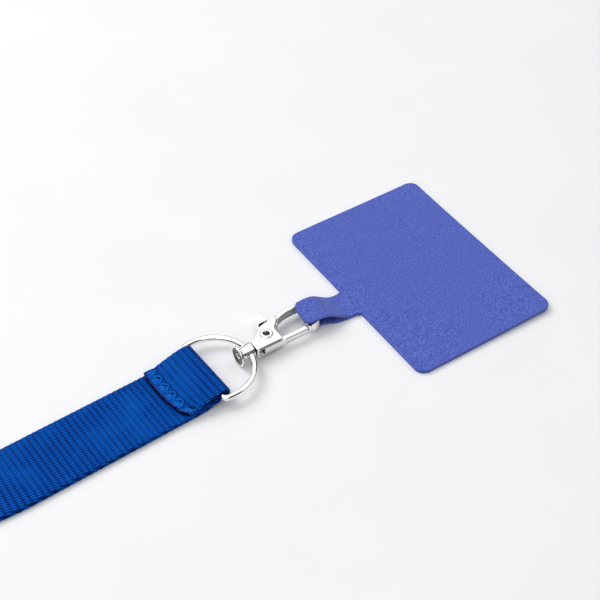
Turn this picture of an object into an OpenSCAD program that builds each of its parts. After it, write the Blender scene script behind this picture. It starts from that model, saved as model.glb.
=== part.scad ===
// Neck lanyard with a swivel hook and a phone tether patch.
// +X runs from the strap to the patch, +Y is the left side, +Z is up, and the floor is z = 0.

/* [Strap] */
// Width of the neck webbing
strap_w = 20; // [19.6:0.1:20]
// Thickness of the neck webbing
strap_t = 0.85; // [0.8:0.05:0.85]
// Length of the sewn flap that lies on top
flap_len = 15; // [14:0.1:17]
// Length of each run of the folded hank
hank_run = 88; // [80:1:100]
// Where the hank's near end is, behind the fold at the ring
hank_start = 80; // [75:1:90]
// Slack between neighbouring runs of the hank
hank_slack = 0.15; // [0.1:0.05:0.2]

/* [Tie] */
// Width of the tie round the hank
tie_w = 12; // [10:1:16]
// Thickness of the tie band
tie_t = 0.6; // [0.5:0.1:0.7]
// Length of the tie's overlapped end
tie_lap = 14; // [10:1:18]

/* [Stitches] */
// Thread width of the zigzag row
thread_w = 0.5; // [0.4:0.05:0.6]
// Distance from one zigzag bump to the next
stitch_pitch = 3.2; // [3:0.1:3.3]
// Distance of the row from the flap's cut end
stitch_inset = 2.9; // [2.6:0.1:3.4]
// How far the row swings along the strap
stitch_swing = 1.7; // [1.4:0.1:2]

/* [Ring] */
// Wire diameter of the D-ring
wire_d = 1.8; // [1.7:0.05:1.8]
// Distance between the centres of the two ring legs
ring_w = 22.6; // [22.4:0.1:23]
// Bar centre to the middle of the bow
ring_len = 14.3; // [14.2:0.1:14.4]
// Height of the ring and swivel axis
axis_z = 3.2; // [3.15:0.05:3.25]
// Radius of the ring's swivel barrel at the hook, where it is widest
barrel_r = 2.4; // [2.3:0.05:2.45]

/* [Hook] */
// Radius of the swivel rivet's dished flange
flange_r = 3.15; // [2.9:0.05:3.15]
// Shank radius of the swivel rivet
shank_r = 0.8; // [0.7:0.05:0.9]
// Outer radius of the hollow pivot rivet's rim
rim_r = 1.8; // [1.6:0.05:1.9]
// Hole radius of the hollow pivot rivet
eyelet_r = 0.9; // [0.8:0.05:0.95]
// Width of the arch that closes the hook's eye
arch_w = 1.5; // [1.3:0.1:1.6]

/* [Tether] */
// Thickness of each tether ply
ply_t = 0.55; // [0.5:0.05:0.55]
// Width of the tether's tab
tab_w = 9.2; // [8.6:0.1:9.4]
// Width of the fold that passes through the hook's eye
web_w = 4.6; // [4:0.1:4.8]
// Length of the patch along the strap
patch_l = 47; // [40:1:52]
// Width of the patch
patch_w = 66.5; // [60:0.5:68]
// Corner radius of the patch
patch_r = 3; // [2:0.5:5]

/* [Hidden] */
$fn = 48;

layer_gap = 0.1;
layer_pitch = strap_t + layer_gap;
wrap_clear = 0.1;
wire_r = wire_d / 2;
bar_x = -wire_r - wrap_clear - strap_t - 0.35;
wrap_r = wire_r + wrap_clear + strap_t / 2;
flap_rise = 7.2;
middle_end = 4;
run_z = strap_t / 2;
flap_z = run_z + 2 * layer_pitch;
hank_pitch = 2 * layer_pitch + hank_slack;
hank_near = -hank_start;
hank_far = hank_near - hank_run;
hank_runs = 4;
tie_x = (hank_near + hank_far) / 2;
tie_lift = tie_t + 0.1;
tie_flat = tie_w / 2 + 1.5;
tie_ramp = 14;
tie_side_gap = 0.15;
stack_top = tie_lift + 2 * layer_pitch * hank_runs + hank_slack * (hank_runs - 1) - layer_gap;

corner_r = 1.25;
bow_x = bar_x + ring_len - ring_w / 2;
barrel_x0 = 9.4;
barrel_taper = 0.6;
barrel_x1 = bow_x + ring_w / 2 + wire_r;
shank_clear = 0.05;
flange_x = 8.4;
flange_t = 0.8;
head_x = 14.4;
head_t = 0.8;
head_r = 1.1;

base_x = 13.6;
base_t = 0.75;
near_y = -2.1;
cheek_x = 21.9;
hook_z0 = 1;
hook_z1 = 4.8;
slot_z0 = 1.6;
slot_z1 = 3.7;
pivot_x = 18.9;
pivot_y = 1.7;
arch_z0 = 1.4;
arch_z1 = 4.3;
tube_r = 1.25;
rim_t = 0.3;

lever_gap = 0.1;
lever_x = 16.2;
gate_end_x = 30.2;
gate_slant = 0.45;
gate_w = 1.2;
gate_z1 = 3.8;
nose_gap = 0.3;
thumb_x0 = 19;
thumb_x1 = 22;
thumb_y = 9.7;
spring_wire = 0.38;
coil_r = 1.75;
pocket_r = 2.2;
pocket_h = 0.95;

tab_y = 2;
eye_x = 32;
eye_y = 2.7;
eye_rx = 3.7;
eye_ry = 4.3;
fold_x = 31.3;
tab_end_x = 44;
flex_x = 45;
flex_z = 0.6;
bond_t = 0.1;
bond_inset = 0.8;
patch_x = 47.8;

min_x = hank_far - (hank_pitch + layer_pitch + strap_t) / 2;
max_x = patch_x + patch_l;
shift = [-(min_x + max_x) / 2, -tab_y, 0];

steel = [0.82, 0.8, 0.77];
webbing = [0.04, 0.26, 0.66];
microfibre = [0.3, 0.36, 0.75];

// Smooth step from 0 to 1.
function ease(t) = t <= 0 ? 0 : t >= 1 ? 1 : t * t * (3 - 2 * t);
// Drop from 0 to 1 that is straighter than ease in its middle.
function sag(t) = (t + ease(t)) / 2;
function mix(a, b, t) = a + (b - a) * t;
function unit(v) = v / norm(v);

// Lift of the strap where it passes over the tie.
function lift(x) =
    tie_lift * min(1, max(0, (tie_flat + tie_ramp - abs(x - tie_x)) / tie_ramp));

// Straight run of webbing at one level, as points along its middle.
function run(x0, x1, z) =
    let (
        stops = [tie_x - tie_flat - tie_ramp, tie_x - tie_flat, tie_x + tie_flat,
            tie_x + tie_flat + tie_ramp],
        inside = [for (s = stops) if ((s - x0) * (s - x1) < 0) s],
        middle = x1 > x0 ? inside : [for (i = [len(inside) - 1 : -1 : 0]) inside[i]]
    )
    [for (x = concat([x0], middle, [x1])) [x, z + lift(x)]];

// Turn of webbing from one level to another, bulging along side (+1 or -1).
function turn(x, z0, z1, side, n = 8) =
    [for (i = [1 : n - 1]) let (a = 180 * i / n, r = (z1 - z0) / 2)
        [x + side * abs(r) * sin(a), (z0 + z1) / 2 - r * cos(a)]];

// Webbing between the flat stack and the wrap round the ring's bar.
function rise(z0, z1, x1, n = 8) =
    [for (i = [0 : n]) let (t = i / n) [bar_x - flap_rise + t * (x1 + flap_rise - bar_x), mix(z0, z1,
        ease((t * (x1 + flap_rise - bar_x)) / flap_rise))]];

// Levels of the two layers of a folded pair, for each run of the hank.
function pair_z(k) = run_z + layer_pitch / 2 + k * hank_pitch;
function lower_z(k) = pair_z(k) - layer_pitch / 2;
function upper_z(k) = pair_z(k) + layer_pitch / 2;
function outgoing_z(k) = k % 2 == 0 ? lower_z(k) : upper_z(k);
function returning_z(k) = k % 2 == 0 ? upper_z(k) : lower_z(k);
function run_from(k) = k == 0 ? bar_x - flap_rise : k % 2 == 0 ? hank_near : hank_far;
function run_to(k) = k % 2 == 0 ? hank_far : hank_near;
function bulge(k) = k % 2 == 0 ? -1 : 1;

function reversed(p) = [for (i = [len(p) - 1 : -1 : 0]) p[i]];
function tail(p) = [for (i = [1 : len(p) - 1]) p[i]];
function most(p) = [for (i = [0 : len(p) - 2]) p[i]];
function flat(lists) = [for (l = lists) for (p = l) p];

function outgoing() = flat([for (k = [0 : hank_runs - 1])
    concat(run(run_from(k), run_to(k), outgoing_z(k)),
        k == hank_runs - 1 ? [] : turn(run_to(k), outgoing_z(k), outgoing_z(k + 1), bulge(k)))]);
function returning() = flat([for (k = [hank_runs - 1 : -1 : 0])
    concat(run(run_to(k), run_from(k), returning_z(k)),
        k == 0 ? [] : turn(run_from(k), returning_z(k), returning_z(k - 1), bulge(k - 1)))]);

// Middle line of the whole strap, from the flap's cut end to the end inside the seam.
function strap_path() = concat(
    [[-flap_len, flap_z]],
    rise(flap_z, axis_z + wrap_r, bar_x),
    [for (a = [75 : -15 : -75]) [bar_x + wrap_r * cos(a), axis_z + wrap_r * sin(a)]],
    reversed(rise(run_z, axis_z - wrap_r, bar_x)),
    tail(outgoing()),
    turn(hank_near, outgoing_z(hank_runs - 1), returning_z(hank_runs - 1), 1),
    most(returning()),
    rise(run_z + layer_pitch, axis_z - 0.55, bar_x - middle_end)
);

// Outline of a band of thickness t along a path.
function band(p, t) =
    let (
        n = len(p),
        step = [for (i = [0 : n - 2]) unit(p[i + 1] - p[i])],
        along = [for (i = [0 : n - 1]) unit(i == 0 ? step[0] : i == n - 1 ? step[n - 2]
            : step[i - 1] + step[i])],
        side = [for (v = along) [-v[1], v[0]]]
    )
    concat([for (i = [0 : n - 1]) p[i] + side[i] * t / 2],
        [for (i = [n - 1 : -1 : 0]) p[i] - side[i] * t / 2]);

// Closed outline with rounded corners, from points [x, y, corner radius].
function rounded(p, n = 4) =
    let (m = len(p))
    flat([for (i = [0 : m - 1])
        let (
            c = [p[i][0], p[i][1]],
            a = unit([p[(i + m - 1) % m][0], p[(i + m - 1) % m][1]] - c),
            b = unit([p[(i + 1) % m][0], p[(i + 1) % m][1]] - c),
            half = acos(max(-1, min(1, a * b))) / 2,
            r = p[i][2],
            centre = c + unit(a + b) * r / sin(half),
            from = c + a * r / tan(half) - centre,
            to = c + b * r / tan(half) - centre
        )
        r == 0 ? [c] : [for (k = [0 : n]) centre + r * unit(mix(from, to, k / n))]]);

// Upright slab of a side profile, drawn in X and Z.
module side_slab(points, w, y) {
    translate([0, y + w / 2, 0])
        rotate([90, 0, 0])
            linear_extrude(w)
                polygon(points);
}

// Plan outline raised between two heights.
module plate(points, z0, z1) {
    translate([0, 0, z0])
        linear_extrude(z1 - z0)
            polygon(points);
}

// Profile [radius, distance] turned round an axis along +X.
module turned(profile) {
    translate([0, 0, axis_z])
        rotate([0, 90, 0])
            rotate_extrude()
                polygon(profile);
}

module x_rod(x0, x1, r, y = 0) {
    translate([x0, y, axis_z])
        rotate([0, 90, 0])
            cylinder(h = x1 - x0, r = r);
}

module neck_strap() {
    color(webbing)
        translate(shift)
            side_slab(band(strap_path(), strap_t), strap_w, 0);
}

// Zigzag of flat thread across the strap.
module zigzag(z0, z1) {
    half = stitch_pitch / 2;
    swings = floor((strap_w - 1) / half);
    x0 = -flap_len + stitch_inset;
    points = [for (i = [0 : swings]) [x0 + (i % 2 == 0 ? -1 : 1) * stitch_swing / 2,
        (i - swings / 2) * half]];
    plate(band(points, thread_w), z0, z1);
    for (p = points)
        translate([p[0], p[1], z0])
            cylinder(h = flap_z + strap_t / 2 - z0, r = thread_w / 2 - 0.02);
}

module seam_stitches() {
    top = flap_z + strap_t / 2;
    color(webbing)
        translate(shift) {
            zigzag(0.02, 0.3);
            zigzag(top - 0.15, top + 0.22);
        }
}

module strap_tie() {
    half = strap_w / 2 + tie_side_gap;
    top = stack_top + 0.1;
    outer = [[-half - tie_t, 0, 1], [half + tie_t, 0, 1],
        [half + tie_t, top + tie_t, 1], [-half - tie_t, top + tie_t, 1]];
    inner = [[-half, tie_t, 0.4], [half, tie_t, 0.4], [half, top, 0.4], [-half, top, 0.4]];
    color([0.06, 0.07, 0.1])
        translate(shift + [tie_x - tie_w / 2, 0, 0])
            rotate([90, 0, 90])
                linear_extrude(tie_w) {
                    difference() {
                        polygon(rounded(outer));
                        polygon(rounded(inner));
                    }
                    translate([-tie_lap / 2, top + tie_t])
                        square([tie_lap, tie_t]);
                }
}

module d_ring() {
    half = ring_w / 2;
    color(steel)
        translate(shift)
            difference() {
                union() {
                    translate([bar_x, 0, axis_z])
                        rotate([90, 0, 0])
                            cylinder(h = ring_w - 2 * corner_r, r = wire_r, center = true);
                    for (s = [-1, 1])
                        translate([bar_x + corner_r, s * (half - corner_r), axis_z])
                            rotate([0, 0, s > 0 ? 90 : 180])
                                rotate_extrude(angle = 90)
                                    translate([corner_r, 0])
                                        circle(r = wire_r);
                    for (s = [-1, 1])
                        x_rod(bar_x + corner_r, bow_x, wire_r, s * half);
                    translate([bow_x, 0, axis_z])
                        rotate([0, 0, -90])
                            rotate_extrude(angle = 180)
                                translate([half, 0])
                                    circle(r = wire_r);
                    translate([barrel_x0, 0, axis_z])
                        rotate([0, 90, 0])
                            cylinder(h = barrel_x1 - barrel_x0, r1 = barrel_r - barrel_taper, r2 = barrel_r);
                }
                x_rod(barrel_x0 - 1, barrel_x1 + 1, shank_r + shank_clear);
            }
}

module swivel_rivet() {
    rim = flange_r;
    color(steel)
        translate(shift)
            turned([[0, flange_x + 1.6], [0.45, flange_x + 1.6], [0.45, flange_x + 0.5],
                [0.95, flange_x + 0.45], [rim - 0.35, flange_x], [rim, flange_x + 0.1],
                [rim, flange_x + 0.4], [1.3, flange_x + flange_t], [shank_r, flange_x + flange_t],
                [shank_r, head_x], [head_r, head_x], [head_r, head_x + head_t - 0.3],
                [head_r - 0.35, head_x + head_t], [0, head_x + head_t]]);
}

// Plan of a cheek, from the swivel end to the root of the arch.
function cheek_plan() = rounded([
    [base_x, near_y, 0.4],
    [cheek_x, near_y, 0.3],
    [cheek_x, 2.1, 0],
    [23.4, 4.7, 0],
    [24.6, 6.6, 0],
    [22.3, 5.9, 0],
    [19.2, 5.2, 1.5],
    [15, 2.1, 1],
    [base_x, 2.1, 0.4]
]);

// Middle line of the arch, from its root round to the nose.
function arch_line() = concat(
    [[22.9, 3.6], [23.6, 4.9], [24.8, 5.9], [26.3, 6.5], [28.2, 6.9]],
    [for (a = [90 : -15 : -90]) [eye_x + eye_rx * cos(a), eye_y + eye_ry * sin(a)]]
);

module hook_body() {
    nose_y = near_y + arch_w;
    nose_x = gate_end_x + nose_gap;
    nose = [
        [nose_x, near_y],
        [33, near_y],
        [33, nose_y],
        [nose_x + gate_slant * arch_w / gate_w, nose_y]
    ];
    color(steel)
        translate(shift)
            difference() {
                union() {
                    plate(cheek_plan(), slot_z1, hook_z1);
                    plate(cheek_plan(), hook_z0, slot_z0);
                    plate(rounded([[base_x, near_y, 0.3], [base_x + base_t, near_y, 0],
                        [base_x + base_t, 2.1, 0], [base_x, 2.1, 0.3]]), hook_z0, hook_z1);
                    plate(band(arch_line(), arch_w), arch_z0, arch_z1);
                    plate(nose, arch_z0 + 0.3, gate_z1);
                    plate([[22.3, 4], [23, 3.4], [24.4, 5.2], [24.6, 6.6], [22.3, 5.9]], hook_z0, hook_z1);
                }
                translate([pivot_x, pivot_y, 0])
                    cylinder(h = hook_z1 + 1, r = tube_r);
                x_rod(base_x - 1, base_x + base_t + 0.1, shank_r);
                x_rod(base_x + base_t, head_x + head_t + 0.1, head_r + shank_clear);
            }
}

module pivot_rivet() {
    z0 = hook_z0 - rim_t;
    z1 = hook_z1 + rim_t;
    color(steel)
        translate(shift + [pivot_x, pivot_y, 0])
            rotate_extrude()
                polygon([[eyelet_r, z0], [rim_r - 0.2, z0], [rim_r, hook_z0], [tube_r, hook_z0],
                    [tube_r, hook_z1], [rim_r, hook_z1], [rim_r - 0.2, z1], [eyelet_r, z1]]);
}

module gate_lever() {
    z0 = slot_z0 + lever_gap;
    z1 = slot_z1 - lever_gap;
    gate_y = near_y + gate_w;
    lever = rounded([
        [lever_x, near_y, 0.3],
        [23, near_y, 0],
        [23, gate_y, 0],
        [21.6, gate_y, 0.4],
        [21.6, 4.4, 0],
        [thumb_x1, 5.6, 0],
        [thumb_x1, 6.2, 0],
        [thumb_x0, 6.2, 0],
        [thumb_x0, 4.7, 0],
        [lever_x, 2.6, 0.6]
    ]);
    color(steel)
        translate(shift)
            difference() {
                union() {
                    plate(lever, z0, z1);
                    plate([[22.6, near_y], [gate_end_x, near_y], [gate_end_x + gate_slant, gate_y],
                        [22.6, gate_y]], z0, gate_z1);
                    plate(rounded([[thumb_x0, 6.1, 0], [thumb_x1, 6.1, 0], [thumb_x1, thumb_y, 0.5],
                        [thumb_x0, thumb_y, 0.5]]), hook_z0 + 0.5, hook_z1 - 0.2);
                }
                translate([pivot_x, pivot_y, 0])
                    cylinder(h = hook_z1, r = tube_r + shank_clear);
                translate([pivot_x, pivot_y, 0])
                    cylinder(h = z0 + pocket_h, r = pocket_r);
                translate([lever_x - 1, -0.4, 0])
                    cube([3.2, 1.9, z0 + pocket_h]);
                translate([pivot_x, 3.1, 0])
                    cube([2, 0.7, z0 + pocket_h]);
            }
}

// Torsion spring of square wire round the pivot: two turns and two legs.
module gate_spring() {
    z = slot_z0 + lever_gap + 0.05;
    pitch = spring_wire + 0.05;
    color([0.55, 0.55, 0.57])
        translate(shift + [pivot_x, pivot_y, z]) {
            for (k = [0, 1])
                translate([0, 0, k * pitch])
                    difference() {
                        cylinder(h = spring_wire, r = coil_r + spring_wire / 2);
                        translate([0, 0, -1])
                            cylinder(h = 3, r = coil_r - spring_wire / 2);
                    }
            translate([-coil_r - spring_wire / 2, -0.3, 0])
                cube([spring_wire, 0.6, pitch + spring_wire]);
            translate([-3.3, -coil_r - spring_wire / 2, 0])
                cube([3.3, spring_wire, spring_wire]);
            translate([0, coil_r - spring_wire / 2, pitch])
                cube([1.8, spring_wire, spring_wire]);
        }
}

module tether_loop() {
    top_z = arch_z1 + 0.3 + ply_t / 2;
    low_z = 0.12 + ply_t / 2;
    bend_z = arch_z1 + 0.2;
    upper = concat(
        [[fold_x + ply_t / 2, bend_z], [fold_x + 0.45, top_z - 0.1], [fold_x + 0.9, top_z]],
        [for (i = [0 : 8]) let (t = i / 8) [mix(36.2, 43.6, t), mix(top_z, 1.5 * ply_t + bond_t, sag(t))]],
        [[tab_end_x, 1.5 * ply_t + bond_t]]
    );
    lower = [[33.9, 0.85], [34.2, 0.55], [34.8, low_z], [39, low_z], [41, ply_t / 2],
        [tab_end_x, ply_t / 2]];
    web = [[fold_x + 0.45, top_z - 0.1], [fold_x + ply_t / 2, bend_z], [fold_x + 0.5, 4],
        [33.2, 1.7], [33.9, 0.85]];
    color(microfibre)
        translate(shift) {
            side_slab(band(upper, ply_t), tab_w, tab_y);
            side_slab(band(lower, ply_t), tab_w, tab_y);
            side_slab(band(web, ply_t), web_w, eye_y);
        }
}

// One ply of the patch with its tongue, rounded about the place where the tab flexes.
module ply(z0, z1) {
    r = flex_z;
    arc_z = [for (i = [0 : 6]) mix(z0, z1, i / 6)];
    tongue = concat([[patch_x + 1, z0]],
        [for (z = arc_z) [flex_x - sqrt(max(0, r * r - pow(z - flex_z, 2))), z]],
        [[patch_x + 1, z1]]);
    half = patch_w / 2;
    side_slab(tongue, tab_w, tab_y);
    plate(rounded([[patch_x, tab_y - half, patch_r], [max_x, tab_y - half, patch_r],
        [max_x, tab_y + half, patch_r], [patch_x, tab_y + half, patch_r]], 8), z0, z1);
}

module patch_front() {
    color(microfibre)
        translate(shift)
            ply(ply_t + bond_t, 2 * ply_t + bond_t);
}

module patch_back() {
    color(microfibre)
        translate(shift)
            ply(0, ply_t);
}

module patch_bond() {
    x0 = patch_x + bond_inset;
    x1 = max_x - bond_inset;
    half = patch_w / 2 - bond_inset;
    r = patch_r - bond_inset;
    color([0.85, 0.85, 0.88])
        translate(shift)
            plate(rounded([[x0, tab_y - half, r], [x1, tab_y - half, r], [x1, tab_y + half, r],
                [x0, tab_y + half, r]], 8), ply_t, ply_t + bond_t);
}

neck_strap();
seam_stitches();
strap_tie();
d_ring();
swivel_rivet();
hook_body();
pivot_rivet();
gate_lever();
gate_spring();
tether_loop();
patch_front();
patch_bond();
patch_back();
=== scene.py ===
import bpy, bmesh, math
import numpy as np
from mathutils import Matrix, Vector


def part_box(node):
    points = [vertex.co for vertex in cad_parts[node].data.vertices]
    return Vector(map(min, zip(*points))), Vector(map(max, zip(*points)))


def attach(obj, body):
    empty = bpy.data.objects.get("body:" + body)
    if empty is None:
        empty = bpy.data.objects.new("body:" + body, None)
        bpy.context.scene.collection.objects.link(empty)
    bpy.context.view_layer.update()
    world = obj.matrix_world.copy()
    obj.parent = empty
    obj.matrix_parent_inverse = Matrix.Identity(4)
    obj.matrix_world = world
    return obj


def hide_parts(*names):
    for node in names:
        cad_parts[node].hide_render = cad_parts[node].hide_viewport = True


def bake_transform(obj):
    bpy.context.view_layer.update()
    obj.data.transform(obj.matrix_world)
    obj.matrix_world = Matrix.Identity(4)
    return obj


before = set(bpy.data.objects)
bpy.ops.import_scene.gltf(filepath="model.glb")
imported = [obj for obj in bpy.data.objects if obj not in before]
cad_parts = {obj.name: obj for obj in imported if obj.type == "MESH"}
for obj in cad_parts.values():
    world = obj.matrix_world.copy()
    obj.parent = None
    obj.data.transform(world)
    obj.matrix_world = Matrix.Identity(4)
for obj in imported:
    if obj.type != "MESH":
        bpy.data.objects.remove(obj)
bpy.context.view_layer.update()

# Build coordinates are millimetres from the fold at the ring; P turns them into the row frame.
lo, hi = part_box("patch_back")
PATCH_END, TAB_Y = 94.8, 2.0
SX = hi[0] * 1000 - PATCH_END
SY = (lo[1] + hi[1]) * 500 - TAB_Y


def P(x, y, z):
    return Vector(((x + SX) / 1000, (y + SY) / 1000, z / 1000))


# ---------------------------------------------------------------- camera
CAMERA_AT = (-106.0, -205.25, 259.2)
LOOKS_ALONG, ITS_RIGHT = (0.389, 0.5916, -0.7062), (0.8357, -0.5492, 0)

cam_data = bpy.data.cameras.new("camera")
cam = bpy.data.objects.new("camera", cam_data)
bpy.context.scene.collection.objects.link(cam)
cam_data.sensor_width = 36
cam_data.lens = 76.2
cam_data.clip_start = 0.01
cam_data.shift_y = -0.0017
forward = Vector(LOOKS_ALONG).normalized()
right = Vector(ITS_RIGHT).normalized()
up = right.cross(forward)
turn = Matrix((right, up, -forward)).transposed().to_4x4()
cam.matrix_world = Matrix.Translation(P(*CAMERA_AT)) @ turn
bpy.context.scene.camera = cam


# ---------------------------------------------------------------- helpers
def smooth(t):
    """0 to 1 with a soft start and end as t goes from 0 to 1."""
    t = np.clip(t, 0, 1)
    return t * t * (3 - 2 * t)


def link(obj):
    bpy.context.scene.collection.objects.link(obj)
    return obj


def face_outwards(obj):
    bm = bmesh.new()
    bm.from_mesh(obj.data)
    bmesh.ops.recalc_face_normals(bm, faces=bm.faces)
    bm.to_mesh(obj.data)
    bm.free()
    return obj


def mesh_object(name, verts, faces, uv=None, smooth_shade=True):
    me = bpy.data.meshes.new(name)
    me.from_pydata([tuple(v) for v in verts], [], [tuple(f) for f in faces])
    if uv is not None:
        layer = me.uv_layers.new(name="UVMap")
        index = np.zeros(len(me.loops), dtype=np.int32)
        me.loops.foreach_get("vertex_index", index)
        layer.data.foreach_set("uv", np.asarray(uv, dtype=np.float32)[index].ravel())
    me.validate()
    if smooth_shade:
        me.polygons.foreach_set("use_smooth", [True] * len(me.polygons))
    me.update()
    return link(bpy.data.objects.new(name, me))


def evaluated(obj):
    """obj's mesh with its modifiers applied, and no modifiers left."""
    deps = bpy.context.evaluated_depsgraph_get()
    me = bpy.data.meshes.new_from_object(obj.evaluated_get(deps))
    obj.modifiers.clear()
    obj.data = me
    me.polygons.foreach_set("use_smooth", [True] * len(me.polygons))
    return obj


def place_mm(obj):
    """Turns a mesh in build millimetres into the row frame."""
    obj.data.transform(Matrix.Translation(Vector((SX / 1000, SY / 1000, 0))) @ Matrix.Scale(0.001, 4))
    return obj


def cast(name, node, voxel, rounds):
    """A CAD node's shape with the soft edges of a plated casting."""
    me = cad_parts[node].data.copy()
    me.materials.clear()
    obj = link(bpy.data.objects.new(name, me))
    me.transform(Matrix.Scale(1000, 4))
    mod = obj.modifiers.new("remesh", "REMESH")
    mod.mode = "VOXEL"
    mod.voxel_size = voxel
    soft = obj.modifiers.new("smooth", "SMOOTH")
    soft.factor = 0.5
    soft.iterations = rounds
    evaluated(obj)
    obj.data.transform(Matrix.Scale(0.001, 4))
    return obj


def tube(points, radii, sides):
    """Vertices and faces of a round tube along points, in millimetres, capped at both ends."""
    pts = [Vector(p) for p in points]
    n = len(pts)
    verts, faces = [], []
    normal = None
    for i, p in enumerate(pts):
        t = (pts[min(i + 1, n - 1)] - pts[max(i - 1, 0)]).normalized()
        if normal is None:
            normal = t.orthogonal().normalized()
        normal = (normal - t * normal.dot(t)).normalized()
        side = t.cross(normal)
        for k in range(sides):
            q = 2 * math.pi * k / sides
            verts.append(p + (normal * math.cos(q) + side * math.sin(q)) * radii[i])
    for i in range(n - 1):
        for k in range(sides):
            m = (k + 1) % sides
            faces.append((i * sides + k, i * sides + m, (i + 1) * sides + m, (i + 1) * sides + k))
    faces.append(tuple(range(sides - 1, -1, -1)))
    faces.append(tuple((n - 1) * sides + k for k in range(sides)))
    return verts, faces


def lathe(profile, sides):
    """Surface of revolution about +X: profile points are (distance, radius)."""
    verts, faces = [], []
    for d, r in profile:
        for k in range(sides):
            q = 2 * math.pi * k / sides
            verts.append((d, r * math.cos(q), r * math.sin(q)))
    n = len(profile)
    for i in range(n - 1):
        for k in range(sides):
            m = (k + 1) % sides
            faces.append((i * sides + k, (i + 1) * sides + k, (i + 1) * sides + m, i * sides + m))
    return verts, faces


def rounded_profile(points, radius, steps=5):
    """Open profile with its inner corners rounded."""
    out = [points[0]]
    for i in range(1, len(points) - 1):
        c = Vector(points[i])
        a = Vector(points[i - 1]) - c
        b = Vector(points[i + 1]) - c
        r = min(radius, a.length * 0.45, b.length * 0.45)
        s, e = c + a.normalized() * r, c + b.normalized() * r
        for k in range(steps + 1):
            t = k / steps
            out.append(tuple(s * (1 - t) ** 2 + c * 2 * t * (1 - t) + e * t * t))
    out.append(points[-1])
    return out


def swept_faces(rows, per):
    """Faces of a tube of rows with per points each, closed round and capped at both ends."""
    idx = np.arange(rows * per).reshape(rows, per)
    a, b = idx[:-1], idx[1:]
    quads = np.stack([a, np.roll(a, -1, 1), np.roll(b, -1, 1), b], -1).reshape(-1, 4)
    ends = [tuple(idx[0][::-1].tolist()), tuple(idx[-1].tolist())]
    return [tuple(q) for q in quads.tolist()] + ends


def spline(points, step):
    """Catmull-Rom curve through points, resampled at about one step."""
    p = np.array([points[0]] + list(points) + [points[-1]], dtype=float)
    out = []
    for i in range(1, len(p) - 2):
        for t in np.linspace(0, 1, 24, endpoint=False):
            a, b, c, d = p[i - 1], p[i], p[i + 1], p[i + 2]
            out.append(0.5 * (2 * b + (c - a) * t + (2 * a - 5 * b + 4 * c - d) * t * t
                              + (3 * b - a - 3 * c + d) * t ** 3))
    out.append(p[-2])
    return resample(np.array(out), step)


def resample(path, step):
    """Points along path at equal distances of about one step."""
    seg = np.linalg.norm(np.diff(path, axis=0), axis=1)
    s = np.concatenate([[0], np.cumsum(seg)])
    n = max(2, int(round(s[-1] / step)) + 1)
    at = np.linspace(0, s[-1], n)
    return np.stack([np.interp(at, s, path[:, k]) for k in range(path.shape[1])], 1)


def averaged(path):
    """Each point of path averaged with its two neighbours."""
    pad = np.concatenate([path[:1], path, path[-1:]])
    kernel = np.ones(3) / 3
    return np.stack([np.convolve(pad[:, k], kernel, "valid") for k in range(path.shape[1])], 1)


def square_to(tangent):
    """Unit vectors at a right angle to the tangents of a flat path."""
    along = tangent / np.linalg.norm(tangent, axis=1)[:, None]
    return np.stack([-along[:, 1], along[:, 0]], 1)


# ---------------------------------------------------------------- material kit
class NodeMaths:
    """Short calls for doing maths in a node tree."""

    def __init__(self, tree):
        self.tree = tree
        self.tree.nodes.clear()

    def put(self, socket, value):
        if isinstance(value, bpy.types.NodeSocket):
            self.tree.links.new(value, socket)
        else:
            socket.default_value = value

    def math(self, op, a, b=0.0):
        n = self.tree.nodes.new("ShaderNodeMath")
        n.operation = op
        self.put(n.inputs[0], a)
        self.put(n.inputs[1], b)
        return n.outputs[0]

    def add(self, a, b):
        return self.math("ADD", a, b)

    def sub(self, a, b):
        return self.math("SUBTRACT", a, b)

    def mul(self, a, b):
        return self.math("MULTIPLY", a, b)

    def over(self, a, low):
        """How far a is over low, and 0 where it is under."""
        return self.math("MAXIMUM", self.sub(a, low), 0.0)

    def wave(self, phase):
        """0 to 1 and back once for each whole step of phase."""
        return self.add(self.mul(self.math("COSINE", self.mul(phase, 2 * math.pi)), -0.5), 0.5)

    def blend(self, fac, a, b):
        n = self.tree.nodes.new("ShaderNodeMix")
        n.data_type = "RGBA"
        self.put(n.inputs[0], fac)
        for socket, v in ((n.inputs[6], a), (n.inputs[7], b)):
            self.put(socket, v if isinstance(v, bpy.types.NodeSocket) else (*v, 1))
        return n.outputs[2]


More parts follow.
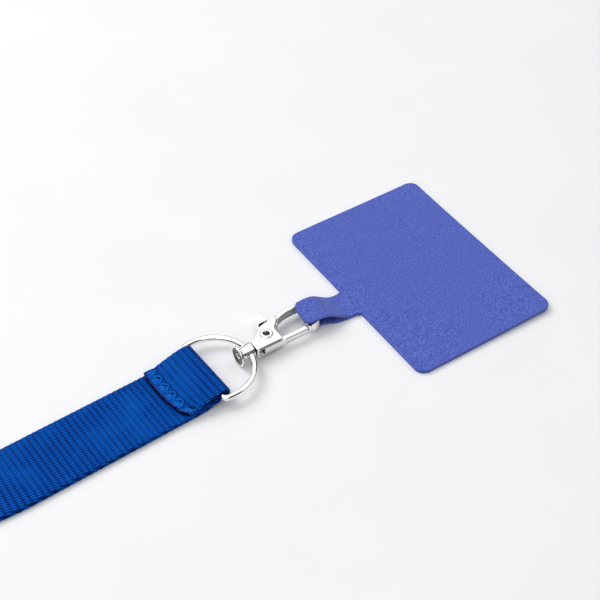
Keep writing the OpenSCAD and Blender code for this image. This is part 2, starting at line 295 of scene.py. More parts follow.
class Shader(NodeMaths):
    """A material with one Principled shader, and the textures that feed it."""

    def __init__(self, name):
        self.mat = bpy.data.materials.new(name)
        self.mat.use_nodes = True
        super().__init__(self.mat.node_tree)
        out = self.tree.nodes.new("ShaderNodeOutputMaterial")
        self.shader = self.tree.nodes.new("ShaderNodeBsdfPrincipled")
        self.tree.links.new(self.shader.outputs[0], out.inputs["Surface"])

    def uv(self):
        n = self.tree.nodes.new("ShaderNodeUVMap")
        s = self.tree.nodes.new("ShaderNodeSeparateXYZ")
        self.tree.links.new(n.outputs[0], s.inputs[0])
        return s.outputs[0], s.outputs[1]

    def place(self):
        return self.tree.nodes.new("ShaderNodeTexCoord").outputs["Object"]

    def noise(self, vector, scale, detail=2.0, rough=0.5):
        n = self.tree.nodes.new("ShaderNodeTexNoise")
        self.put(n.inputs["Vector"], vector)
        n.inputs["Scale"].default_value = scale
        n.inputs["Detail"].default_value = detail
        n.inputs["Roughness"].default_value = rough
        return n.outputs["Fac"]

    def scaled(self, vector, x, y, z):
        n = self.tree.nodes.new("ShaderNodeMapping")
        self.put(n.inputs["Vector"], vector)
        n.inputs["Scale"].default_value = (x, y, z)
        return n.outputs[0]

    def ramp(self, value, stops):
        n = self.tree.nodes.new("ShaderNodeValToRGB")
        self.put(n.inputs[0], value)
        el = n.color_ramp.elements
        while len(el) < len(stops):
            el.new(0.5)
        for e, (at, colour) in zip(el, stops):
            e.position = at
            e.color = (*colour, 1)
        return n.outputs[0]

    def bump(self, height, strength, distance):
        n = self.tree.nodes.new("ShaderNodeBump")
        n.inputs["Strength"].default_value = strength
        n.inputs["Distance"].default_value = distance
        self.put(n.inputs["Height"], height)
        self.tree.links.new(n.outputs[0], self.shader.inputs["Normal"])

    def set(self, **values):
        for key, v in values.items():
            self.put(self.shader.inputs[key.replace("_", " ")], v)
        return self.mat


# The weave: rows of floats across the strap, and how far from the cut end the seam puffs and pits it.
FLOATS_PER_MM = 1.3
FLAP_RIB, RUN_RIB = 1.75, 1.6
SEALED_ROWS, CHARRED_AND_SHADED_ROWS = 0.44, 0.06
STITCH_PITCH, STITCH_Y, SEAM_HALF = 3.42, 1.86, 9.2
PUFF_AT, PIT_AT = 1.7, 3.15


def webbing_material():
    g = Shader("webbing")
    u, v = g.uv()
    pos = g.place()
    wobble = g.noise(pos, 700.0, 3.0)
    # u counts rows along the strap, and v is millimetres across it
    row = g.math("FRACT", g.add(u, g.mul(g.sub(wobble, 0.5), 0.12)))
    rib = g.math("POWER", g.math("SINE", g.mul(row, math.pi)), 0.3)
    lean = g.add(g.mul(v, FLOATS_PER_MM), g.mul(row, 0.12))
    stagger = g.mul(g.math("FLOOR", u), 0.5)
    yarn = g.wave(g.add(g.add(lean, stagger), g.mul(wobble, 0.25)))
    weave = g.add(g.mul(rib, g.add(g.mul(yarn, 0.62), 0.3)), 0.1)
    grain = g.noise(pos, 3200.0, 2.0)
    weave = g.add(weave, g.mul(g.sub(grain, 0.5), 0.3))
    # the ramp draws the weave in light and dark: painted shade in the rib valleys and the gaps between
    # floats, painted highlights on the float crests
    colour = g.ramp(weave, [(0.12, (0.0002, 0.006, 0.06)), (0.42, (0.0003, 0.019, 0.15)),
                            (0.68, (0.0005, 0.038, 0.25)), (0.95, (0.002, 0.115, 0.57))])
    cloud = g.noise(pos, 110.0, 3.0)
    colour = g.blend(g.mul(g.over(cloud, 0.45), 1.6), colour, (0.002, 0.1, 0.46))
    # the seam's thread pulls a pit at each inner point, and the cloth puffs up before it; the puffs get a
    # painted highlight and the pits painted shade
    stitch = g.math("FRACT", g.add(g.mul(g.sub(v, STITCH_Y), 1 / STITCH_PITCH), 0.5))
    beside = g.mul(g.sub(stitch, 0.5), STITCH_PITCH)
    in_seam = g.math("LESS_THAN", g.math("ABSOLUTE", v), SEAM_HALF)

    def spot(at, wide, long):
        """1 at each stitch, at millimetres from the cut end, fading to 0 at the half sizes given."""
        a = g.mul(beside, 1 / wide)
        b = g.mul(g.sub(g.mul(u, FLAP_RIB), at), 1 / long)
        return g.mul(g.over(1.0, g.add(g.mul(a, a), g.mul(b, b))), in_seam)

    puff_highlight = g.mul(spot(PUFF_AT, 1.5, 1.2), g.add(g.mul(yarn, 0.7), 0.1))
    colour = g.blend(puff_highlight, colour, (0.014, 0.24, 0.86))
    colour = g.blend(spot(PIT_AT + 0.25, 1.1, 0.75), colour, (0.0003, 0.009, 0.06))
    # the cut edge is sealed by heat: its rim is painted purplish, partly the sealed edge's colour and
    # partly a painted highlight, and its end face is painted near black, partly the sealed end's colour
    # and partly painted shade
    sealed = g.math("LESS_THAN", g.add(u, g.mul(wobble, 0.17)), SEALED_ROWS)
    colour = g.blend(g.mul(sealed, 0.85), colour, (0.02, 0.028, 0.16))
    colour = g.blend(g.math("LESS_THAN", u, CHARRED_AND_SHADED_ROWS), colour, (0.001, 0.002, 0.014))
    g.bump(g.add(g.mul(weave, 0.8), g.mul(grain, 0.2)), 0.85, 0.0002)
    return g.set(Base_Color=colour, Roughness=g.add(0.5, g.mul(wobble, 0.2)),
                 Sheen_Weight=0.03, Sheen_Roughness=0.4, Sheen_Tint=(0.1, 0.4, 1, 1),
                 Specular_IOR_Level=0.1, Specular_Tint=(0.1, 0.4, 1, 1))


def thread_material():
    g = Shader("thread")
    pos = g.place()
    twist = g.noise(pos, 3500.0, 1.0)
    colour = g.ramp(twist, [(0.3, (0.0008, 0.062, 0.34)), (0.7, (0.006, 0.165, 0.7))])
    g.bump(twist, 0.6, 0.0001)
    return g.set(Base_Color=colour, Roughness=0.5, Sheen_Weight=0.03, Sheen_Roughness=0.4,
                 Sheen_Tint=(0.1, 0.4, 1, 1), Specular_IOR_Level=0.1, Specular_Tint=(0.1, 0.4, 1, 1))


def metal_material(name, warm=0.0, rough=0.05, tone=1.0):
    """Nickel plating; a tone below 1 darkens it all over towards near black, for copies that carry
    painted shade and painted dark reflections.
    """
    g = Shader(name)
    pos = g.place()
    cloud = g.noise(pos, 260.0, 3.0)
    speck = g.noise(pos, 2600.0, 2.0)
    colour = g.ramp(cloud, [(0.3, (0.93, 0.92, 0.9 - warm)), (0.7, (0.98, 0.975, 0.965 - warm))])
    # painted shade: the plating's colour darkens towards near black in tight corners and in gaps between
    # parts, by ambient occlusion
    corner = g.tree.nodes.new("ShaderNodeAmbientOcclusion")
    corner.samples = 8
    corner.inputs["Distance"].default_value = 0.0011
    lit_share = g.mul(g.math("POWER", corner.outputs["AO"], 1.7), tone)
    colour = g.blend(lit_share, (0.07, 0.066, 0.062), colour)
    scratch = g.noise(g.scaled(pos, 6, 1, 1), 1700.0, 3.0)
    roughness = g.add(rough, g.mul(g.over(scratch, 0.55), 0.8))
    g.bump(g.add(g.mul(cloud, 0.7), g.mul(speck, 0.05)), 0.16, 0.0004)
    return g.set(Base_Color=colour, Metallic=1.0, Roughness=roughness)


def microfibre_material():
    g = Shader("microfibre")
    pos = g.place()
    nap = g.noise(pos, 420.0, 4.0, 0.6)
    pile = g.noise(g.scaled(pos, 1, 1.6, 1), 2200.0, 2.0, 0.6)
    cloud = g.noise(pos, 60.0, 3.0)
    tone = g.add(g.mul(nap, 0.06), g.mul(pile, 0.94))
    colour = g.ramp(tone, [(0.34, (0.03, 0.052, 0.31)), (0.5, (0.066, 0.102, 0.445)),
                           (0.68, (0.14, 0.2, 0.64))])
    colour = g.blend(g.mul(cloud, 0.12), colour, (0.07, 0.11, 0.46))
    twill = g.noise(g.scaled(pos, 1, 2.5, 1), 1500.0, 1.0)
    g.bump(g.add(g.mul(pile, 0.5), g.add(g.mul(nap, 0.4), g.mul(twill, 0.6))), 0.6, 0.00014)
    return g.set(Base_Color=colour, Roughness=0.85, Sheen_Weight=0.35, Sheen_Roughness=0.5,
                 Sheen_Tint=(0.6, 0.7, 1, 1), Specular_IOR_Level=0.25)


def tie_material():
    g = Shader("tie_tape")
    u, v = g.uv()
    pos = g.place()
    loops = g.noise(pos, 1500.0, 3.0, 0.65)
    knit = g.mul(g.wave(g.mul(u, 1.6)), g.wave(g.mul(v, 1.3)))
    tone = g.add(g.mul(loops, 0.7), g.mul(knit, 0.3))
    colour = g.ramp(tone, [(0.25, (0.006, 0.007, 0.01)), (0.75, (0.035, 0.038, 0.048))])
    g.bump(tone, 0.8, 0.0003)
    return g.set(Base_Color=colour, Roughness=0.8, Sheen_Weight=0.3, Sheen_Roughness=0.5)


def spring_material():
    g = Shader("spring_wire")
    pos = g.place()
    grain = g.noise(g.scaled(pos, 1, 1, 5), 2500.0, 2.0)
    colour = g.ramp(grain, [(0.3, (0.28, 0.28, 0.29)), (0.7, (0.5, 0.5, 0.52))])
    return g.set(Base_Color=colour, Metallic=1.0, Roughness=g.add(0.25, g.mul(grain, 0.15)))


def film_material():
    g = Shader("bond_film")
    pos = g.place()
    cloud = g.noise(pos, 500.0, 3.0)
    colour = g.ramp(cloud, [(0.3, (0.5, 0.53, 0.68)), (0.7, (0.66, 0.69, 0.8))])
    return g.set(Base_Color=colour, Roughness=0.45)


WEBBING = webbing_material()
THREAD = thread_material()
NICKEL = metal_material("nickel")
NICKEL_HOOK = metal_material("nickel_hook", 0.01, 0.07)
# darker copies of the plating, laid on chosen faces as painted shade and painted dark reflections
NICKEL_PAINTED_DARK = metal_material("nickel_painted_dark", 0.005, 0.22, 0.09)
NICKEL_SHADE = metal_material("nickel_shade", 0.01, 0.12, 0.42)
MICROFIBRE = microfibre_material()


def dress(obj, material, body, slot, *replaced):
    obj.data.materials.clear()
    obj.data.materials.append(material)
    if replaced:
        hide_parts(*replaced)
    if body:
        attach(obj, body)
    return obj


# ---------------------------------------------------------------- neck strap
STRAP_W, STRAP_T, GAP = 20.0, 0.85, 0.1
PITCH = STRAP_T + GAP
BAR_X, AXIS_Z, WRAP_R, RISE = -2.2, 3.2, 1.425, 7.2
RUN_Z = STRAP_T / 2
FLAP_Z = RUN_Z + 2 * PITCH
FLAP_END, FLAP_FLAT, FLAP_FOOT, SEAM_X = -15.0, -13.2, -12.8, -12.9
TUCK_START, TUCK_END = -9.3, -6.2
STRAP_STEP, RIB_LOW, RIB_RELIEF, SELVEDGE, WANDER = 0.24, 0.365, 0.05, 0.55, 0.18
RUNS, HANK_SLACK = 4, 0.15
HANK_NEAR, HANK_FAR, HANK_PITCH = -80.0, -168.0, 2 * PITCH + HANK_SLACK
TIE_X, TIE_W, TIE_T, TIE_GAP = -124.0, 12.0, 0.6, 0.1


def lift(x):
    """How far the hank is raised where it passes over the tie's lower side."""
    return (TIE_T + TIE_GAP) * smooth((TIE_W / 2 + 16.5 - np.abs(x - TIE_X)) / 15)


def level(k, outgoing):
    """Height of one layer of the folded pair in run k of the hank."""
    low = (k % 2 == 0) == outgoing
    return RUN_Z + k * HANK_PITCH + (0 if low else PITCH)


def flat_run(x0, x1, z):
    """One straight run of the hank."""
    x = np.linspace(x0, x1, max(3, int(abs(x1 - x0) / 0.5)))
    return np.stack([x, z + lift(x)], 1)


def u_turn(x, z0, z1, side, reach=1.6):
    """The loop at one end of the hank, from height z0 to z1."""
    a = np.linspace(0, math.pi, 22)[1:-1]
    r = (z1 - z0) / 2
    return np.stack([x + side * abs(r) * reach * np.sin(a), (z0 + z1) / 2 - r * np.cos(a)], 1)


def seam_rise(z0, z1, x0, x1):
    """The strap's climb from the seam to the ring's bar."""
    x = np.linspace(x0, x1, 24)
    return np.stack([x, z0 + (z1 - z0) * smooth((x - (BAR_X - RISE)) / RISE)], 1)


def flap_rise(z0, z1):
    """The flap climbs almost straight from the seam to the bar."""
    t = np.linspace(0, 1, 30)
    climb = (smooth(t) + np.sin(t * math.pi / 2)) / 2
    return np.stack([FLAP_FOOT + (BAR_X - FLAP_FOOT) * t, z0 + (z1 - z0) * climb], 1)


def strap_path():
    """The webbing's middle line as (x, z): flap, fold at the bar, hank out and back, tucked end."""
    wrap = np.radians(np.linspace(88, -88, 24))
    parts = [
        np.array([[FLAP_END, FLAP_Z - 0.05], [FLAP_FLAT, FLAP_Z]]),
        flap_rise(FLAP_Z, AXIS_Z + WRAP_R),
        np.stack([BAR_X + (WRAP_R + 0.45) * np.cos(wrap), AXIS_Z + WRAP_R * np.sin(wrap)], 1),
        seam_rise(RUN_Z, AXIS_Z - WRAP_R, BAR_X, -9.4),
    ]
    start = BAR_X - RISE - 0.5
    for k in range(RUNS):
        x0 = start if k == 0 else (HANK_NEAR if k % 2 == 0 else HANK_FAR)
        x1 = HANK_FAR if k % 2 == 0 else HANK_NEAR
        parts.append(flat_run(x0, x1, level(k, True)))
        if k < RUNS - 1:
            parts.append(u_turn(x1, level(k, True), level(k + 1, True), -1 if k % 2 == 0 else 1))
    parts.append(u_turn(HANK_NEAR, level(RUNS - 1, True), level(RUNS - 1, False), 1, 3.0))
    for k in reversed(range(RUNS)):
        x0 = HANK_FAR if k % 2 == 0 else HANK_NEAR
        x1 = start if k == 0 else (HANK_NEAR if k % 2 == 0 else HANK_FAR)
        parts.append(flat_run(x0, x1, level(k, False)))
        if k:
            parts.append(u_turn(x1, level(k, False), level(k - 1, False), -1 if k % 2 else 1))
    parts.append(seam_rise(RUN_Z + PITCH, AXIS_Z - 0.55, TUCK_START, TUCK_END))
    return resample(np.concatenate(parts), STRAP_STEP)


def sweep_side(x):
    """How far the strap's middle strays sideways, and its slope."""
    def at(v):
        lean = 0.05 * (v + 2.2)
        back = smooth((-58 - v) / 34)
        return lean * (1 - back) * smooth((v + 170) / 60)
    return at(x), (at(x + 0.05) - at(x - 0.05)) / 0.1


def bend(points):
    """Lays a straight strap point (x, y, z) along the strap's gentle curve."""
    points = np.asarray(points, dtype=float)
    x, y = points[..., 0], points[..., 1]
    off, slope = sweep_side(x)
    angle = np.arctan(slope)
    return np.stack([x - y * np.sin(angle), off + y * np.cos(angle), points[..., 2]], -1)


def webbing_mesh():
    """The neck strap, ribbed all along, with the flap's cut end and puckered seam; also its length."""
    path = strap_path()
    n = len(path)
    normal = square_to(averaged(np.gradient(path, axis=0)))
    s = np.arange(n) * np.linalg.norm(path[1] - path[0])
    # the rows are a little longer on the flap, which is pulled over the bar
    rib_len = FLAP_RIB + (RUN_RIB - FLAP_RIB) * smooth((s - 20) / 12)
    phase = np.concatenate([[0], np.cumsum(np.diff(s) / rib_len[1:])])
    rib = np.sin(math.pi * phase) ** 2
    half_w = STRAP_W / 2 - 0.12 + 0.1 * rib
    # thin, rounded selvedges
    across = np.concatenate([[-1, -0.992, -0.975, -0.95], np.linspace(-0.92, 0.92, 27),
                             [0.95, 0.975, 0.992, 1]])
    edge = np.clip((1 - np.abs(across)) * (STRAP_W / 2) / SELVEDGE, 0, 1)
    profile = np.sqrt(1 - (1 - edge) ** 2)
    rows, uvs = [], []
    wander = WANDER * np.sin(s / 31.0) * smooth((s - 60) / 60)
    keep = smooth((np.abs(path[:, 0] - TIE_X) - 8) / 20)
    for side in (1, -1):
        order = across if side > 0 else across[::-1]
        prof = profile if side > 0 else profile[::-1]
        ribbed = RIB_LOW + RIB_RELIEF * rib
        bulge = 1.0 + 0.12 * np.exp(-(s / 0.35) ** 2)
        h = side * np.outer(ribbed * bulge, prof)
        h[:, [0, -1]] = 0.0
        y = np.outer(half_w, order) + (wander * keep)[:, None]
        x = path[:, 0][:, None] + normal[:, 0][:, None] * h
        z = path[:, 1][:, None] + normal[:, 1][:, None] * h
        block = np.stack([x, y, z], -1)
        if side < 0:
            block = block[:, 1:-1]
            y = y[:, 1:-1]
        rows.append(block)
        uvs.append(np.stack([np.repeat(phase[:, None], block.shape[1], 1), y], -1))
    grid = bend(np.concatenate(rows, 1))
    uv = np.concatenate(uvs, 1)
    per = grid.shape[1]
    # the cut end bows outwards, its corners are rounded, and each stitch puffs the cloth and pits it
    y = grid[:, :, 1]
    bow = -0.78 * (1 - ((y - 2) / 8.6) ** 2) + smooth((-y - 7.9) / 2) + 0.5 * smooth((y - 9.1) / 0.8)
    grid[:, :, 0] += np.exp(-(s / 5.5) ** 2)[:, None] * bow
    grid[:, :, 0] += np.exp(-s / 1.2)[:, None] * (0.07 * np.sin(y * 2.3) + 0.05 * np.sin(y * 5.1))
    crest = np.cos(2 * math.pi * (y - STITCH_Y) / STITCH_PITCH)
    pucker = 0.34 * np.exp(-((s - PUFF_AT) / 0.9) ** 2) - 0.34 * np.exp(-((s - PIT_AT) / 0.6) ** 2)
    grid[:, :, 2] += pucker[:, None] * (crest + 0.3)
    grid[:, :, 2] += (0.3 * np.exp(-(s / 0.9) ** 2))[:, None]
    obj = mesh_object("webbing_strap", grid.reshape(-1, 3), swept_faces(n, per), uv.reshape(-1, 2))
    return place_mm(obj), s[-1]


strap, strap_length = webbing_mesh()
dress(strap, WEBBING, "strap", "webbing", "neck_strap")


# ---------------------------------------------------------------- zigzag row
THREAD_R, THREAD_SWELL, THREAD_HIGH, THREAD_DIVE, TAIL_DIVE = 0.24, 0.12, 0.3, 0.6, 0.25


def zigzag(z, side, name):
    """One face of the seam: a thread that dives into the webbing at each point of the zigzag."""
    first, last, swing, steps = -5, 5, 1.9, 12
    corners = []
    for i in range(first, last):
        y = STITCH_Y + i * STITCH_PITCH / 2
        x = SEAM_X + (swing / 2 if i % 2 == 0 else -swing / 2) + 0.5 * smooth((-y - 1) / 8)
        corners.append((x, max(y, 0.3 - STRAP_W / 2)))
    verts, faces = [], []
    for a, b in zip(corners, corners[1:]):
        pts, radii = [], []
        for k in range(steps + 1):
            t = k / steps
            x, y = a[0] + (b[0] - a[0]) * t, a[1] + (b[1] - a[1]) * t
            sink = (2 * t - 1) ** 6
            tail = smooth((SEAM_X - x) / 1.2)
            pts.append((x, y, z + side * (THREAD_HIGH - THREAD_DIVE * sink - TAIL_DIVE * tail)))
            radii.append(THREAD_R + THREAD_SWELL * math.sin(math.pi * t))
        v, f = tube(bend(pts), radii, 10)
        base = len(verts)
        verts += v
        faces += [tuple(q + base for q in face) for face in f]
    return face_outwards(mesh_object(name, verts, faces))


top_row = place_mm(zigzag(FLAP_Z + STRAP_T / 2 + 0.06, 1, "zigzag_top"))
low_row = place_mm(zigzag(0.2, -1, "zigzag_under"))
dress(top_row, THREAD, "strap", "thread", "seam_stitches")
dress(low_row, THREAD, "strap", "thread")


# ---------------------------------------------------------------- tie round the hank
def tie_mesh():
    """A band round the hank with its end lapped over on top."""
    half = STRAP_W / 2 + 0.15 + TIE_T / 2
    hank_top = lift(TIE_X) + 2 * RUNS * PITCH + (RUNS - 1) * HANK_SLACK - GAP
    low, top, r = TIE_T / 2, hank_top + TIE_GAP + TIE_T / 2, 0.9
    lap = TIE_T + 0.04

    def corner(cy, cz, a0, a1):
        a = np.radians(np.linspace(a0, a1, 9))
        return np.stack([cy + r * np.cos(a), cz + r * np.sin(a)], 1)

    ring = np.concatenate([
        np.stack([np.linspace(-5.5, half - r, 20), np.full(20, top)], 1),
        corner(half - r, top - r, 90, 0), corner(half - r, low + r, 0, -90),
        corner(-half + r, low + r, -90, -180), corner(-half + r, top - r, 180, 90),
        np.stack([np.linspace(-half + r, -7.6, 4), np.full(4, top)], 1),
        np.stack([np.linspace(-6.9, -5.2, 8), top + lap * smooth(np.linspace(0, 1, 8))], 1),
        np.stack([np.linspace(-4.5, 7.0, 20), np.full(20, top + lap)], 1)])
    step = 0.3
    path = resample(ring, step)
    n = len(path)
    normal = square_to(np.gradient(path, axis=0))
    across = np.concatenate([[-1, -0.98, -0.94], np.linspace(-0.88, 0.88, 15), [0.94, 0.98, 1]])
    edge = np.clip((1 - np.abs(across)) * (TIE_W / 2) / (TIE_T / 2), 0, 1)
    prof = TIE_T / 2 * (0.35 + 0.65 * np.sqrt(1 - (1 - edge) ** 2))
    rows, uvs = [], []
    s = np.arange(n) * step
    for side in (1, -1):
        order = across if side > 0 else across[::-1]
        p = prof if side > 0 else prof[::-1]
        x = np.repeat((TIE_X + order * TIE_W / 2)[None], n, 0)
        y = path[:, 0][:, None] + normal[:, 0][:, None] * side * p
        z = path[:, 1][:, None] + normal[:, 1][:, None] * side * p
        rows.append(np.stack([x, y, z], -1))
        uvs.append(np.stack([np.repeat(s[:, None], len(order), 1), x], -1))
    grid = np.concatenate(rows, 1)
    per = grid.shape[1]
    uv = np.concatenate(uvs, 1)
    obj = mesh_object("tie_band", grid.reshape(-1, 3), swept_faces(n, per), uv.reshape(-1, 2))
    return place_mm(face_outwards(obj)), s[-1]


tie, tie_length = tie_mesh()
dress(tie, tie_material(), "strap", "tie", "strap_tie")

# ---------------------------------------------------------------- metal
# Build millimetres: the hook's near side wall, cheek, groove, gate and arch, the rivet's flange, the eye.
NEAR_Y, WALL = -2.1, 0.7
CHEEK_X, CHEEK_FOOT = (14.5, 21.8), 1.3
GROOVE, GROOVE_DEPTH = (4.02, 4.5), 0.45
GATE_X, GATE_LINE, GATE_FOOT = (22.9, 30.6), (3.3, 3.62), 2.0
ARCH_X, ARCH_Y, ARCH_START = 22.6, 3.2, 24.6
FLANGE_X = 8.4
EYE = Vector((29.5, 2.7, 2.85))


def between(value, span):
    return span[0] < value < span[1]


def cheek_edges(c, n):
    """The groove and the lower edge of the cheek on the near side, which get painted shade in the groove
    and a painted dark reflection along the lower edge.
    """
    near_side = n.y < -0.2 and c.y < NEAR_Y + WALL and between(c.x, CHEEK_X)
    return near_side and (between(c.z, GROOVE) or c.z < CHEEK_FOOT)


def arch_wall(c, n):
    """The arch's wall that faces the eye, which gets a painted dark reflection."""
    faces_eye = (EYE - c).to_2d().dot(n.to_2d()) > 0.4
    return faces_eye and n.z < 0.45 and c.x > ARCH_X and c.y > ARCH_Y


def gate_edges(c, n):
    """Painted dark reflections: thin dark lines along the top and the bottom of the gate's near side."""
    return n.y < -0.2 and between(c.x, GATE_X) and (between(c.z, GATE_LINE) or c.z < GATE_FOOT)


def rivet_dish(c, n):
    """The dish in the rivet's flange, inside the ring, which gets painted shade."""
    return n.x < 0 and c.x < FLANGE_X + 0.8 and between(math.hypot(c.y, c.z - AXIS_Z), (0.85, 2.6))


def paint_shade(obj, material, inside):
    """Gives the faces that inside(centre, normal) picks, in build millimetres, a darker copy of the
    plating: painted shade and painted dark reflections.
    """
    obj.data.materials.append(material)
    last = len(obj.data.materials) - 1
    for face in obj.data.polygons:
        c = face.center * 1000
        if inside(Vector((c.x - SX, c.y - SY, c.z)), face.normal):
            face.material_index = last


def cast_hook():
    """The hook's casting: its arch is nearly round, and a groove runs under the cheek's top edge."""
    obj = cast("cast_hook", "hook_body", 0.07, 24)
    group = obj.vertex_groups.new(name="arch")
    far = [v.index for v in obj.data.vertices if v.co.x * 1000 - SX > ARCH_START]
    group.add(far, 1.0, "REPLACE")
    soft = obj.modifiers.new("arch", "SMOOTH")
    soft.vertex_group = "arch"
    soft.factor = 0.5
    soft.iterations = 110
    evaluated(obj)
    middle = (GROOVE[0] + GROOVE[1]) / 2
    for v in obj.data.vertices:
        x, y, z = v.co.x * 1000 - SX, v.co.y * 1000 - SY, v.co.z * 1000
        if y < NEAR_Y + 0.25 and CHEEK_X[0] - 0.1 < x < CHEEK_X[1] + 0.1:
            v.co.y += GROOVE_DEPTH / 1000 * float(smooth(1.6 - abs(z - middle) / 0.18))
    return obj


ring = dress(cast("cast_ring", "d_ring", 0.07, 8), NICKEL, "ring", "plated", "d_ring")
hook = dress(cast_hook(), NICKEL_HOOK, "hook", "plated", "hook_body")
# painted shade in the cheek's groove and a painted dark reflection along its lower edge
paint_shade(hook, NICKEL_PAINTED_DARK, cheek_edges)
# a painted dark reflection on the arch's inner wall
paint_shade(hook, NICKEL_SHADE, arch_wall)
lever = dress(cast("cast_lever", "gate_lever", 0.06, 20), NICKEL_HOOK, "gate", "plated", "gate_lever")
# painted dark reflections along the gate's top and bottom edges
paint_shade(lever, NICKEL_PAINTED_DARK, gate_edges)


def swivel_mesh():
    """The swivel rivet: a dished flange inside the ring, a shank, and a head in the hook's window."""
    f = FLANGE_X
    profile = rounded_profile([
        (f + 1.5, 0.0), (f + 1.5, 0.45), (f + 0.3, 0.55), (f + 0.3, 1.0), (f + 0.62, 1.15),
        (f + 0.55, 1.7), (f + 0.02, 2.7), (f, 3.1), (f + 0.38, 3.14), (f + 0.8, 1.7),
        (f + 0.85, 0.8), (14.4, 0.8), (14.4, 1.1), (14.9, 1.1), (15.18, 0.8), (15.2, 0.0)], 0.14)
    v, fa = lathe(profile, 72)
    obj = mesh_object("turned_rivet", [(x, y, z + AXIS_Z) for x, y, z in v], fa)
    return place_mm(face_outwards(obj))


def eyelet_mesh():
    """The hollow rivet that the gate turns on, with a rolled rim at each end."""
    z0, z1, pivot_x, pivot_y = 0.7, 5.1, 18.9, 1.7
    loop = [(z1 - 0.28, 0.9), (z1 - 0.02, 1.02), (z1, 1.25), (z1 - 0.06, 1.6), (4.82, 1.8), (4.78, 1.78),
            (4.75, 1.25), (1.05, 1.25), (1.02, 1.78), (0.98, 1.8), (z0 + 0.06, 1.6), (z0, 1.25),
            (z0 + 0.02, 1.02), (z0 + 0.28, 0.9), (z1 - 0.28, 0.9)]
    v, fa = lathe(rounded_profile(loop, 0.08, 4), 64)
    obj = mesh_object("eyelet", [(pivot_x + y, pivot_y + z, x) for x, y, z in v], fa)
    return place_mm(face_outwards(obj))


rivet = dress(swivel_mesh(), NICKEL, "hook", "plated", "swivel_rivet")
# painted shade in the rivet's dish
paint_shade(rivet, NICKEL_PAINTED_DARK, rivet_dish)
dress(eyelet_mesh(), NICKEL, "hook", "plated", "pivot_rivet")
for name, material in (("gate_spring", spring_material()), ("patch_bond", film_material())):
    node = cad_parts[name]
    node.data.materials.clear()
    node.data.materials.append(material)


# ---------------------------------------------------------------- tether
PLY, TAB_W, PATCH_L, PATCH_W, CORNER = 0.55, 9.2, 47.0, 66.5, 3.0
PATCH_X = PATCH_END - PATCH_L
ARCH_TAB_Y, TAB_HALF, WEB_HALF, ROOT_FLARE = 2.6, 4.45, 2.5, 0.8


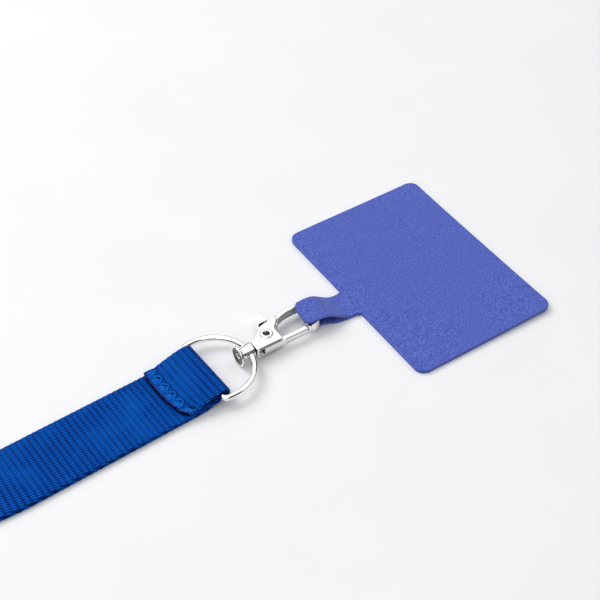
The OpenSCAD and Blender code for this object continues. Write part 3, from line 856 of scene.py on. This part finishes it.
def tether_mesh():
    """One blank: the upper ply, the tab over the arch and back under it, and the lower ply."""
    high, low, top = 0.925, 0.275, 4.88
    line = spline([(PATCH_X, high), (45.8, high), (44.0, high + 0.1), (42.0, 1.75), (39.8, 3.05),
                   (37.8, 4.25), (36.0, top - 0.03), (33.4, top), (32.1, top - 0.06), (31.65, top - 0.4),
                   (31.75, 3.9), (32.6, 2.4), (33.4, 1.15), (34.2, 0.52), (35.6, 0.42), (39.0, 0.4),
                   (42.0, 0.3), (45.0, low), (PATCH_X, low)], 0.4)
    n = len(line)
    cells = 14
    # half width along the path: nearly full over the arch, gathered inside the eye
    x, z = line[:, 0], line[:, 1]
    s = np.concatenate([[0], np.cumsum(np.linalg.norm(np.diff(line, axis=0), axis=1))])
    web_mid = s[np.argmin(np.abs(z - 2.6) + (x > 34) * 9)]
    narrow = smooth((3.3 - np.abs(s - web_mid)) / 1.7)
    half = TAB_HALF - narrow * (TAB_HALF - WEB_HALF)
    under = (z < 2) & (x > 33)
    half -= np.where(under, 1.5 * (1 - smooth((x - 35.6) / 5)), 0)
    half += (TAB_W / 2 - TAB_HALF) * smooth((x - 38) / 6)
    half += ROOT_FLARE * np.exp(-(PATCH_X - x) / 0.9) * (x > 43)
    middle = ARCH_TAB_Y + (TAB_Y - ARCH_TAB_Y) * smooth((x - 37) / 8)
    skew = 0.07 * (1 - smooth((x - 34) / 8)) * (z > 2)
    back = 0.8 * (1 - smooth((x - 33) / 6)) * (z > 3.6)
    tab = np.linspace(-1, 1, cells + 1)
    verts = []
    for i in range(n):
        for t in tab:
            verts.append((x[i] - back[i] + skew[i] * half[i] * t, middle[i] + half[i] * t, z[i]))
    faces = []
    w = cells + 1
    for i in range(n - 1):
        for k in range(cells):
            faces.append((i * w + k, i * w + k + 1, (i + 1) * w + k + 1, (i + 1) * w + k))

    def grade(length, inner):
        """Steps from inner to length that get finer towards the end."""
        fine = np.array([0, 0.4, 0.8, 1.3, 1.8, 2.4, 3.0])
        mid = np.linspace(inner, length - 3.0, max(3, int((length - inner) / 2.4)))
        return np.concatenate([mid[:-1], length - fine[::-1]])

    root_half = TAB_W / 2 + ROOT_FLARE
    out = grade(PATCH_W / 2, root_half)
    along = np.concatenate([[0, 0.4, 0.8, 1.3, 1.8, 2.4], grade(PATCH_L, 3.0)])
    ys = np.concatenate([-out[::-1][:-1], root_half * tab, out[1:]])
    first = len(out) - 1

    def ply(z0, root):
        """One ply at height z0 that grows out of row root of the tab."""
        grid = {}
        for i, dx in enumerate(along):
            for j, dy in enumerate(ys):
                if i == 0 and first <= j <= first + cells:
                    grid[i, j] = root * w + (j - first)
                    continue
                px, py = dx, dy
                cx = max(CORNER - dx, dx - (PATCH_L - CORNER), 0)
                cy = max(abs(dy) - (PATCH_W / 2 - CORNER), 0)
                if cx > 0 and cy > 0:
                    k = max(cx, cy) / math.hypot(cx, cy)
                    px += (cx * (1 - k)) * (1 if dx < CORNER else -1)
                    py -= cy * (1 - k) * math.copysign(1, dy)
                far = (px / PATCH_L) ** 2
                wave = 0.1 * math.sin(px * 0.11 + 0.6) * math.sin(py * 0.07 + 0.4) + 0.1
                rise = far * (0.12 + 0.35 * (py / 33.0) ** 4) + wave * min(1, px / 12)
                grid[i, j] = len(verts)
                verts.append((PATCH_X + px, TAB_Y + py, z0 + rise))
        for i in range(len(along) - 1):
            for j in range(len(ys) - 1):
                quad = [grid[i, j], grid[i, j + 1], grid[i + 1, j + 1], grid[i + 1, j]]
                faces.append(tuple(quad if root else quad[::-1]))

    ply(high, 0)
    ply(low, n - 1)
    obj = mesh_object("tether_blank", verts, faces)
    face_outwards(obj)
    thick = obj.modifiers.new("thickness", "SOLIDIFY")
    thick.thickness = PLY
    thick.offset = 0
    thick.use_even_offset = False
    soft = obj.modifiers.new("edge", "BEVEL")
    soft.width = 0.09
    soft.segments = 2
    soft.limit_method = "ANGLE"
    soft.angle_limit = math.radians(50)
    evaluated(obj)
    return place_mm(obj), s[-1]


tether, tab_length = tether_mesh()
dress(tether, MICROFIBRE, None, "microfibre", "tether_loop", "patch_front", "patch_back")
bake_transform(tether)

# ---------------------------------------------------------------- floor and light
floor_mat = Shader("floor")
grain = floor_mat.noise(floor_mat.place(), 30.0, 4.0)
white = floor_mat.ramp(grain, [(0.3, (0.83, 0.832, 0.845)), (0.7, (0.85, 0.852, 0.862))])
floor_mat.set(Base_Color=white, Roughness=0.6, Specular_IOR_Level=0.3)
FLOOR_HALF, FLOOR_Z = 3, -0.00003
corners = [(x * FLOOR_HALF, y * FLOOR_HALF, FLOOR_Z) for x, y in ((-1, -1), (1, -1), (1, 1), (-1, 1))]
floor = mesh_object("floor", corners, [(0, 1, 2, 3)], smooth_shade=False)
floor.data.materials.append(floor_mat.mat)


def area_light(name, where, size, power, colour=(1, 1, 1), aim=(0.03, 0, 0)):
    data = bpy.data.lights.new(name, "AREA")
    data.size = size
    data.energy = power
    data.color = colour
    obj = link(bpy.data.objects.new(name, data))
    obj.location = where
    obj.rotation_euler = (Vector(aim) - Vector(where)).to_track_quat("-Z", "Y").to_euler()
    return obj


area_light("key", (-0.25, 0.55, 0.75), 0.6, 4.6)
area_light("fill", (-0.7, -0.5, 0.6), 0.6, 1.0, (1, 0.985, 0.96))

world = bpy.data.worlds.new("studio")
bpy.context.scene.world = world
world.use_nodes = True
sky = NodeMaths(world.node_tree)
tree = sky.tree
sky_out = tree.nodes.new("ShaderNodeOutputWorld")
backdrop = tree.nodes.new("ShaderNodeBackground")
direction = tree.nodes.new("ShaderNodeTexCoord").outputs["Generated"]


def towards(x, y, z):
    """Cosine of the angle between the sky direction and (x, y, z)."""
    n = tree.nodes.new("ShaderNodeVectorMath")
    n.operation = "DOT_PRODUCT"
    tree.links.new(direction, n.inputs[0])
    n.inputs[1].default_value = Vector((x, y, z)).normalized()
    return n.outputs["Value"]


def soft_step(value, low, high):
    """0 below low, 1 above high, and smooth between."""
    n = tree.nodes.new("ShaderNodeMapRange")
    n.interpolation_type = "SMOOTHSTEP"
    sky.put(n.inputs["Value"], value)
    n.inputs["From Min"].default_value = low
    n.inputs["From Max"].default_value = high
    return n.outputs["Result"]


# a white studio: dark patches behind the camera, at the far left and at the right, and a dark skirting
dark = soft_step(towards(0.25, -0.75, 0.5), 0.93, 0.97)
dark = sky.math("MAXIMUM", dark, soft_step(towards(-0.8, 0.58, 0.16), 0.86, 0.93))
dark = sky.math("MAXIMUM", dark, soft_step(towards(0.9, 0.3, 0.25), 0.93, 0.97))
dark = sky.math("MAXIMUM", dark, soft_step(towards(0, 0, -1), -0.4, -0.26))
sky.put(backdrop.inputs["Color"], sky.blend(dark, (1, 1, 1), (0.03, 0.03, 0.034)))
glossy = tree.nodes.new("ShaderNodeLightPath").outputs["Is Glossy Ray"]
sky.put(backdrop.inputs["Strength"], sky.add(0.9, sky.mul(glossy, 0.2)))
tree.links.new(backdrop.outputs[0], sky_out.inputs["Surface"])
bpy.context.scene.view_settings.view_transform = "Standard"
bpy.context.scene.view_settings.look = "None"
